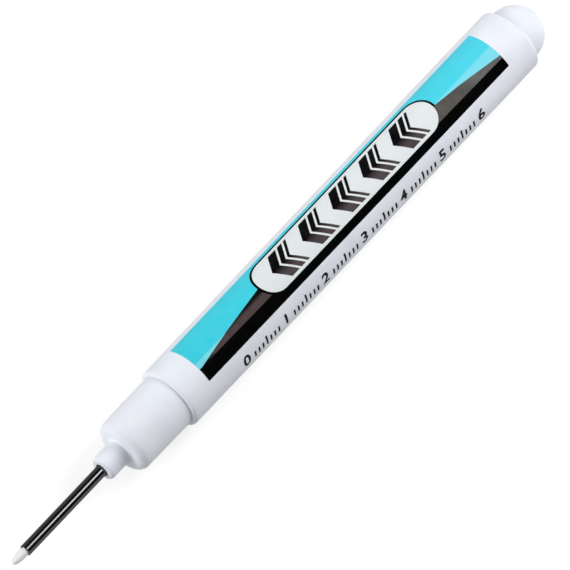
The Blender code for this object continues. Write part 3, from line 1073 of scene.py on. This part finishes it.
def make_front_section():
    """Front section with its nozzle, its snap-in spigot and the socket for the valve."""
    outside = [
        (NOZZLE_FACE, NOZZLE_RADIUS, NOZZLE_FILLET),
        (SHOULDER, NOZZLE_RADIUS, NOZZLE_ROOT_FILLET),
        (SHOULDER, FRONT_RADIUS - FRONT_DRAFT, SHOULDER_FILLET),
        *sharp(
            (BARREL_FRONT - SEAT_GAP, FRONT_RADIUS),
            (BARREL_FRONT - SEAT_GAP, SPIGOT_RADIUS),
        ),
        *snap_ring(FRONT_SNAP, SPIGOT_RADIUS, SNAP_WIDTH),
        *broken((SPIGOT_REAR, SPIGOT_RADIUS)),
    ]
    inside = [
        *broken((SPIGOT_REAR, SOCKET_RADIUS)),
        *sharp(
            (LEDGE, SOCKET_RADIUS),
            (LEDGE, CHAMBER_RADIUS),
            (CHAMBER_FRONT, CHAMBER_RADIUS),
            (CHAMBER_FRONT, NOSE_BORE_RADIUS),
            (NOZZLE_FACE + MOUTH_DEPTH, NOSE_BORE_RADIUS),
            (NOZZLE_FACE + MOUTH_DEPTH, NOSE_BORE_RADIUS + MOUTH_RELIEF),
        ),
        *broken((NOZZLE_FACE, NOSE_BORE_RADIUS + MOUTH_RELIEF)),
    ]
    return turned("front_nozzle", rounded(outside + inside, True), white_plastic)


def make_nose_tube():
    """Nose tube with a rolled mouth and a flange inside the front section."""
    flange_front = TUBE_REAR - TUBE_FLANGE_THICKNESS
    corners = [
        (TUBE_MOUTH, TUBE_RADIUS, TUBE_LIP),
        *sharp((flange_front, TUBE_RADIUS)),
        *broken((flange_front, TUBE_FLANGE_RADIUS), (TUBE_REAR, TUBE_FLANGE_RADIUS)),
        *broken((TUBE_REAR, TUBE_BORE_RADIUS)),
        (TUBE_MOUTH, TUBE_BORE_RADIUS, TUBE_LIP),
    ]
    return turned("steel_nose", rounded(corners, True), dark_steel, FINE_SIDES)


def make_nib():
    """Fibre rod with a bullet point."""
    points = []
    for step in range(POINT_STEPS + 1):
        angle = QUARTER_TURN * step / POINT_STEPS
        station = NIB_POINT + NIB_POINT_LENGTH * (1 - math.cos(angle))
        points.append(Vector((station, NIB_RADIUS * math.sin(angle))))
    points.append(Vector((NIB_REAR, NIB_RADIUS)))
    points.append(Vector((NIB_REAR, 0)))
    return turned("fibre_nib", points, nib_fibre, FINE_SIDES)


def make_nib_collar():
    """Collar clamped on the nib, with a guide that is notched to let ink past."""
    guide_radius = CHAMBER_RADIUS - SLIDE_GAP
    guide_rear = COLLAR_FRONT + COLLAR_GUIDE_LENGTH
    bore_radius = NIB_RADIUS + PRESS_GAP
    corners = [
        *broken((COLLAR_FRONT, guide_radius), (guide_rear, guide_radius)),
        *sharp((guide_rear, COLLAR_RADIUS)),
        *broken((COLLAR_REAR, COLLAR_RADIUS), (COLLAR_REAR, bore_radius)),
        *broken((COLLAR_FRONT, bore_radius)),
    ]
    collar = turned("nib_clamp", rounded(corners, True), natural_plastic, FINE_SIDES)
    drill(
        collar,
        natural_plastic,
        holes=COLLAR_NOTCHES,
        pitch_radius=guide_radius,
        hole_radius=COLLAR_NOTCH_RADIUS,
        front=COLLAR_FRONT,
        rear=guide_rear,
    )
    return collar


def make_valve_body():
    """Cup with the valve seat, pressed into the front section."""
    flange_front = VALVE_REAR - VALVE_FLANGE_THICKNESS
    corners = [
        *broken((VALVE_FRONT, VALVE_RADIUS)),
        *sharp((flange_front, VALVE_RADIUS)),
        *broken((flange_front, SPIGOT_RADIUS), (VALVE_REAR, SPIGOT_RADIUS)),
        *broken((VALVE_REAR, CAVITY_RADIUS)),
        *sharp((VALVE_SEAT, CAVITY_RADIUS)),
        *broken((VALVE_SEAT, SEAT_HOLE_RADIUS), (VALVE_FRONT, SEAT_HOLE_RADIUS)),
    ]
    return turned("valve_cup", rounded(corners, True), natural_plastic, FINE_SIDES)


def make_valve_gasket():
    """Rubber ring on the valve seat."""
    corners = broken(
        (GASKET_FRONT, GASKET_RADIUS),
        (GASKET_REAR, GASKET_RADIUS),
        (GASKET_REAR, SEAT_HOLE_RADIUS),
        (GASKET_FRONT, SEAT_HOLE_RADIUS),
    )
    return turned("valve_seal", rounded(corners, True), gasket_rubber, FINE_SIDES)


def make_valve_stem():
    """Plunger with a cup for the nib's end, a sealing head and a guide for the spring."""
    cup_floor = STEM_FRONT + CUP_DEPTH
    corners = [
        *sharp((cup_floor, 0), (cup_floor, CUP_RADIUS)),
        *broken((STEM_FRONT, CUP_RADIUS), (STEM_FRONT, STEM_RADIUS)),
        *sharp((HEAD_FRONT, STEM_RADIUS)),
        *broken((HEAD_FRONT, HEAD_RADIUS), (HEAD_REAR, HEAD_RADIUS)),
        *sharp((HEAD_REAR, GUIDE_RADIUS)),
        *broken((STEM_REAR, GUIDE_RADIUS)),
        *sharp((STEM_REAR, 0)),
    ]
    return turned("valve_plunger", rounded(corners, False), natural_plastic, FINE_SIDES)


def make_valve_spring():
    """Coil spring between the plunger's head and the retainer."""
    spring = carry("return_spring", bpy.data.meshes.new("return_spring"))
    add_tree(
        spring,
        COIL_TREE,
        bright_steel,
        curls=SPRING_CURLS,
        curl_points=CURL_POINTS,
        front=SPRING_FRONT + WIRE_RADIUS,
        rear=SPRING_REAR - WIRE_RADIUS,
        coil_radius=COIL_RADIUS,
        wire_radius=WIRE_RADIUS,
        wire_sides=WIRE_SIDES,
    )
    return spring


def make_spring_retainer():
    """Disc that holds the spring, with a hole for the plunger's end and a ring of ink ports."""
    plug_radius = CAVITY_RADIUS - PRESS_GAP
    hole_radius = GUIDE_RADIUS + SLIDE_GAP
    flange_front = RETAINER_REAR - RETAINER_FLANGE_THICKNESS
    corners = [
        *broken((RETAINER_FRONT, plug_radius)),
        *sharp((flange_front, plug_radius)),
        *broken((flange_front, RETAINER_RADIUS), (RETAINER_REAR, RETAINER_RADIUS)),
        *broken((RETAINER_REAR, hole_radius), (RETAINER_FRONT, hole_radius)),
    ]
    retainer = turned("spring_disc", rounded(corners, True), natural_plastic, FINE_SIDES)
    drill(
        retainer,
        natural_plastic,
        holes=INK_PORTS,
        pitch_radius=(hole_radius + plug_radius) / 2,
        hole_radius=INK_PORT_RADIUS,
        front=RETAINER_FRONT,
        rear=RETAINER_REAR,
    )
    return retainer


def make_tail_plug():
    """Hollow tail plug with a snap ring, a dome and a moulding gate's mark at its tip."""
    front_corners = [
        *sharp((PLUG_FRONT, SPIGOT_RADIUS)),
        *snap_ring(REAR_SNAP, SPIGOT_RADIUS, SNAP_WIDTH),
        *sharp(
            (BARREL_REAR + SEAT_GAP, SPIGOT_RADIUS),
            (BARREL_REAR + SEAT_GAP, DOME_RADIUS),
        ),
    ]
    gate_angle = math.asin(GATE_RADIUS / DOME_RADIUS)
    dome = arc(DOME_CENTRE, DOME_RADIUS, QUARTER_TURN, gate_angle, DOME_STEPS)
    gate_floor = TAIL_END - GATE_DEPTH
    gate = [
        Vector((gate_floor, GATE_RADIUS - GATE_FILLET)),
        Vector((gate_floor, 0)),
    ]
    hollow_radius = SPIGOT_RADIUS - PLUG_WALL
    hollow = arc(DOME_CENTRE, hollow_radius, 0, QUARTER_TURN, DOME_STEPS)
    mouth = [Vector((PLUG_FRONT, hollow_radius)), Vector((PLUG_FRONT, SPIGOT_RADIUS))]
    points = rounded(front_corners, False) + dome + gate
    return turned("domed_tail", points + hollow + mouth, white_plastic)


def make_mixing_ball():
    """Steel ball that stirs the ink."""
    radius = (BALL_REAR - BALL_FRONT) / 2
    points = arc((BALL_FRONT + BALL_REAR) / 2, radius, math.pi, 0, DOME_STEPS)
    return turned("stirring_ball", points, bright_steel, FINE_SIDES, BALL_HEIGHT)


def cut_into_strips(shape):
    """Cut flat faces along the label, so that they can follow the barrel's curve."""
    heights = [vertex.co.y for vertex in shape.verts]
    first = math.ceil(min(heights) / STRIP_HEIGHT)
    last = math.floor(max(heights) / STRIP_HEIGHT)
    for strip in range(first, last + 1):
        bmesh.ops.bisect_plane(
            shape,
            geom=[*shape.verts, *shape.edges, *shape.faces],
            dist=MERGE_DISTANCE,
            plane_co=(0, strip * STRIP_HEIGHT, 0),
            plane_no=(0, 1, 0),
        )


def flat_shape(*outlines):
    """Flat faces from outlines on the label, run anticlockwise."""
    shape = bmesh.new()
    for outline in outlines:
        shape.faces.new([shape.verts.new((along, up, 0)) for along, up in outline])
    return shape


def printed(name, shape, finish, slot, layer, copies=1, pitch=0.0):
    """A thin layer of ink on the barrel, from a flat shape that may be repeated along the label."""
    cut_into_strips(shape)
    mesh = bpy.data.meshes.new(name)
    shape.to_mesh(mesh)
    shape.free()
    ink = carry(name, mesh)
    lift = INK_LIFT + layer * INK_LAYER
    add_tree(ink, PRINT_TREE, finish, copies=copies, pitch=pitch, lift=lift)
    thickness = ink.modifiers.new("thickness", "SOLIDIFY")
    thickness.thickness = INK_THICKNESS
    thickness.offset = OUTWARDS
    fit(ink, "casing", slot)
    ink.data.shade_smooth()
    ink.data.set_sharp_from_angle(angle=SHARP_ANGLE)


def box_outline(front, rear, foot, top):
    """Rectangle on the label."""
    return [(front, foot), (rear, foot), (rear, top), (front, top)]


def pill_outline(inset):
    """Bar with round ends, drawn in by an inset."""
    radius = PILL_HEIGHT / 2 - inset
    middle = PILL_FOOT + PILL_HEIGHT / 2
    front = PILL_FRONT + PILL_HEIGHT / 2
    rear = PILL_FRONT + PILL_LENGTH - PILL_HEIGHT / 2
    points = []
    for centre, first_angle in ((rear, -QUARTER_TURN), (front, QUARTER_TURN)):
        for step in range(PILL_END_STEPS + 1):
            angle = first_angle + math.pi * step / PILL_END_STEPS
            points.append((centre + radius * math.cos(angle), middle + radius * math.sin(angle)))
    return points


def rim_outline():
    """The pill's edge, drawn in to its white field where the hill meets its rear end."""
    return pill_outline(PILL_OUTLINE)[: RIM_BARE_STEPS + 1] + pill_outline(0)[RIM_BARE_STEPS:]


def chevron_outlines():
    """One group of chevrons that point to the nib and get narrower."""
    group_width = CHEVRON_REACH + sum(CHEVRON_WIDTHS) + CHEVRON_GAP * (len(CHEVRON_WIDTHS) - 1)
    all_width = CHEVRON_PITCH * (CHEVRON_GROUPS - 1) + group_width
    point = PILL_FRONT + (PILL_LENGTH - all_width) / 2
    middle = CHEVRON_FOOT + CHEVRON_HEIGHT / 2
    top = CHEVRON_FOOT + CHEVRON_HEIGHT
    outlines = []
    for width in CHEVRON_WIDTHS:
        outlines.append(
            [
                (point, middle),
                (point + CHEVRON_REACH, CHEVRON_FOOT),
                (point + CHEVRON_REACH + width, CHEVRON_FOOT),
                (point + width, middle),
                (point + CHEVRON_REACH + width, top),
                (point + CHEVRON_REACH, top),
            ]
        )
        point += width + CHEVRON_GAP
    return outlines


def tick_outlines():
    """The ticks between two numerals of the scale, stood on its foot line."""
    outlines = []
    for tick in range(FIRST_TICK, TICKS_PER_CENTIMETRE - FIRST_TICK + 1):
        is_middle = tick == TICKS_PER_CENTIMETRE // 2
        height = MIDDLE_TICK_HEIGHT if is_middle else TICK_HEIGHT
        front = SCALE_FRONT + tick * TICK_PITCH - TICK_WIDTH / 2
        outlines.append(box_outline(front, front + TICK_WIDTH, SCALE_FOOT, SCALE_FOOT + height))
    return outlines


def numeral_mesh(number):
    """One plain numeral of the scale, stood on its foot line."""
    text = bpy.data.curves.new("numeral", "FONT")
    text.body = str(number)
    text.size = NUMERAL_SIZE
    text.offset = NUMERAL_BOLDNESS
    text.align_x = "CENTER"
    writing = carry("numeral", text)
    mesh = plain_mesh(writing)
    bpy.data.objects.remove(writing)
    along = SCALE_FRONT + number * CENTIMETRE
    mesh.transform(Matrix.Translation((along, SCALE_FOOT, 0)))
    return mesh


def numerals_shape():
    """All numerals of the scale."""
    shape = bmesh.new()
    for number in range(SCALE_CENTIMETRES + 1):
        shape.from_mesh(numeral_mesh(number))
    bmesh.ops.remove_doubles(shape, verts=shape.verts, dist=MERGE_DISTANCE)
    return shape


def print_label():
    """Lay the label's inks on the barrel, from the lowest layer up, and then the scale below it."""
    panel = flat_shape(box_outline(0, LABEL_LENGTH, HILL_FOOT, LABEL_HEIGHT))
    wedges = flat_shape(
        box_outline(0, FRONT_WEDGE_TIP, HILL_FOOT, FRONT_WEDGE_HEIGHT),
        box_outline(REAR_WEDGE_TIP, LABEL_LENGTH, HILL_FOOT, REAR_WEDGE_HEIGHT),
    )
    hill = flat_shape(
        [
            (0, HILL_FOOT),
            (LABEL_LENGTH, HILL_FOOT),
            (LABEL_LENGTH, HILL_EAVES_REAR),
            HILL_BEND_REAR,
            HILL_PEAK,
            HILL_BEND_FRONT,
            (0, HILL_EAVES_FRONT),
        ]
    )
    band = flat_shape(
        [(0, 0), (LABEL_LENGTH, 0), (LABEL_LENGTH, BAND_HEIGHT_REAR), (0, BAND_HEIGHT_FRONT)]
    )
    rim = flat_shape(rim_outline())
    field = flat_shape(pill_outline(PILL_OUTLINE))
    chevrons = flat_shape(*chevron_outlines())
    ticks = flat_shape(*tick_outlines())
    printed("cyan_panel", panel, cyan_ink, "cyan_ink", layer=0)
    printed("pale_wedges", wedges, pale_cyan_ink, "pale_cyan_ink", layer=1)
    # The hill's grey is a painted reflection on its black ink
    printed("black_hill_painted_sheen", hill, grey_ink, "grey_ink", layer=2)
    printed("black_band", band, black_ink, "black_ink", layer=3)
    printed("pill_rim", rim, black_ink, "black_ink", layer=4)
    printed("pill_field", field, white_ink, "white_ink", layer=5)
    printed(
        "chevrons",
        chevrons,
        chevron_ink_painted_sheen,
        "black_ink",
        layer=6,
        copies=CHEVRON_GROUPS,
        pitch=CHEVRON_PITCH,
    )
    printed(
        "scale_ticks",
        ticks,
        scale_ink,
        "black_ink",
        layer=0,
        copies=SCALE_CENTIMETRES,
        pitch=CENTIMETRE,
    )
    printed("scale_numerals", numerals_shape(), scale_ink, "black_ink", layer=0)


fit(make_barrel(), "casing", "white_plastic", "barrel")
fit(make_front_section(), "casing", "white_plastic", "front_section")
fit(make_tail_plug(), "casing", "white_plastic", "tail_plug")
fit(make_nose_tube(), "casing", "dark_polished_steel", "nose_tube")
fit(make_nib(), "nib_unit", "nib_fibre", "nib")
fit(make_nib_collar(), "nib_unit", "natural_plastic", "nib_collar")
fit(make_valve_body(), "casing", "natural_plastic", "valve_body")
fit(make_valve_gasket(), "casing", "gasket_rubber", "valve_gasket")
fit(make_valve_stem(), "valve_plunger", "natural_plastic", "valve_stem")
fit(make_spring_retainer(), "casing", "natural_plastic", "spring_retainer")
fit(make_mixing_ball(), "ball", "bright_steel", "mixing_ball")
return_spring = fit(make_valve_spring(), "casing", "bright_steel", "valve_spring")
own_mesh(return_spring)
print_label()

# Floor, light and camera, with lengths in metres and lamps in watts
FLOOR_SIZE = 8.0
FLOOR_COLOUR = (0.4, 0.4, 0.4, 1)
FLOOR_ROUGHNESS = 0.9
FLOOR_GLOW = 0.7
SKY_OVERHEAD = 0.06
SKY_HORIZON = 1.0
SKY_BAND = 0.06
VIEW_AZIMUTH = math.radians(-50.2)
VIEW_ELEVATION = math.radians(61.5)
VIEW_DISTANCE = 3.0
VIEW_WIDTH = 93.44 * MM
VIEW_SHIFT_RIGHT = 1.584 * MM
VIEW_SHIFT_UP = 0.337 * MM
SENSOR_WIDTH = 36.0
TO_CAMERA = Vector(
    (
        math.sin(VIEW_AZIMUTH) * math.cos(VIEW_ELEVATION),
        -math.cos(VIEW_AZIMUTH) * math.cos(VIEW_ELEVATION),
        math.sin(VIEW_ELEVATION),
    )
)
NOSE_MIDDLE = Vector(((TUBE_MOUTH + NOZZLE_FACE) / 2, 0, AXIS_HEIGHT))
MARKER_MIDDLE = Vector(((NIB_POINT + TAIL_END) / 2, 0, AXIS_HEIGHT))
BARREL_END = Vector((BARREL_REAR, 0, AXIS_HEIGHT))

# The nose mirrors the strip lamp as a line along its middle, and the far lamp as a grey band
# along its far edge
LAMPS = {
    "strip_lamp": {
        "aim": NOSE_MIDDLE,
        "direction": Vector((-TO_CAMERA.x, TO_CAMERA.y, TO_CAMERA.z)),
        "length": 0.07,
        "width": 0.4,
        "power": 0.72,
        "in_mirrors": True,
    },
    "far_lamp": {
        "aim": NOSE_MIDDLE,
        "direction": Vector((-TO_CAMERA.x, 0.85, 0.378)),
        "length": 0.35,
        "width": 0.85,
        "power": 0.37,
        "in_mirrors": True,
    },
    "tail_lamp": {
        "aim": BARREL_END,
        "direction": Vector((0.62, -0.36, 0.72)),
        "distance": 0.46,
        "length": 0.3,
        "width": 0.3,
        "power": 2.05,
    },
    "side_lamp": {
        "aim": MARKER_MIDDLE,
        "direction": Vector((-0.6, 0.6, 0.52)),
        "length": 0.9,
        "width": 0.9,
        "power": 6.3,
    },
    "nib_lamp": {
        "aim": MARKER_MIDDLE,
        "direction": Vector((-0.9, 0.1, 0.4)),
        "length": 0.9,
        "width": 0.9,
        "power": 4.2,
    },
}


def make_floor():
    """Pale floor under the marker, which the camera and mirrors see as white."""
    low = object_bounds()[0].z
    half = FLOOR_SIZE / 2
    mesh = bpy.data.meshes.new("floor")
    corners = [(-half, -half, low), (half, -half, low), (half, half, low), (-half, half, low)]
    mesh.from_pydata(corners, [], [(0, 1, 2, 3)])
    floor = carry("floor", mesh)
    finish, tree, shader = new_finish(
        "floor_paper",
        base_color=FLOOR_COLOUR,
        roughness=FLOOR_ROUGHNESS,
        specular_ior_level=0.0,
        emission_color=WHITE,
    )
    ray = add_node(tree, "ShaderNodeLightPath").outputs
    seen = maths(tree, "MAXIMUM", ray["Is Camera Ray"], ray["Is Glossy Ray"])
    seen = maths(tree, "MAXIMUM", seen, ray["Is Transmission Ray"])
    feed(tree, shader["Emission Strength"], maths(tree, "MULTIPLY", seen, FLOOR_GLOW))
    mesh.materials.append(finish)


def make_sky():
    """Soft grey room with a white band at the horizon."""
    sky = bpy.data.worlds.new("studio")
    scene.world = sky
    sky.use_nodes = True
    tree = sky.node_tree
    direction = add_node(tree, "ShaderNodeTexCoord").outputs["Generated"]
    height = add_node(tree, "ShaderNodeSeparateXYZ", {"Vector": direction}).outputs["Z"]
    strength = spread(tree, height, (0, SKY_BAND), (SKY_HORIZON, SKY_OVERHEAD))
    background = tree.nodes["Background"].inputs
    feed(tree, background["Color"], WHITE)
    feed(tree, background["Strength"], strength)


def add_softbox(name, aim, direction, length, width, power, distance=1.0, in_mirrors=False):
    """Rectangular lamp that faces a point of the marker, with its length along the marker."""
    lamp = bpy.data.lights.new(name, "AREA")
    lamp.shape = "RECTANGLE"
    lamp.size = length
    lamp.size_y = width
    lamp.energy = power
    holder = carry(name, lamp)
    back = direction.normalized()
    along = (Vector((1, 0, 0)) - back * back.x).normalized()
    turn = Matrix((along, back.cross(along), back)).transposed()
    holder.matrix_world = Matrix.Translation(aim + back * distance) @ turn.to_4x4()
    holder.visible_glossy = in_mirrors


def make_camera():
    """Camera at the photograph's angle, far off with a long lens."""
    lens = bpy.data.cameras.new("camera")
    lens.sensor_width = SENSOR_WIDTH
    lens.lens = SENSOR_WIDTH * VIEW_DISTANCE / VIEW_WIDTH
    lens.clip_end = 2 * FLOOR_SIZE
    camera = carry("camera", lens)
    turn = (-TO_CAMERA).to_track_quat("-Z", "Y").to_matrix()
    right, up = turn.col[0], turn.col[1]
    target = MARKER_MIDDLE + right * VIEW_SHIFT_RIGHT + up * VIEW_SHIFT_UP
    camera.matrix_world = Matrix.Translation(target + TO_CAMERA * VIEW_DISTANCE) @ turn.to_4x4()
    scene.camera = camera


make_floor()
make_sky()
for lamp_name, lamp_values in LAMPS.items():
    add_softbox(lamp_name, **lamp_values)
make_camera()
scene.view_settings.view_transform = "Standard"
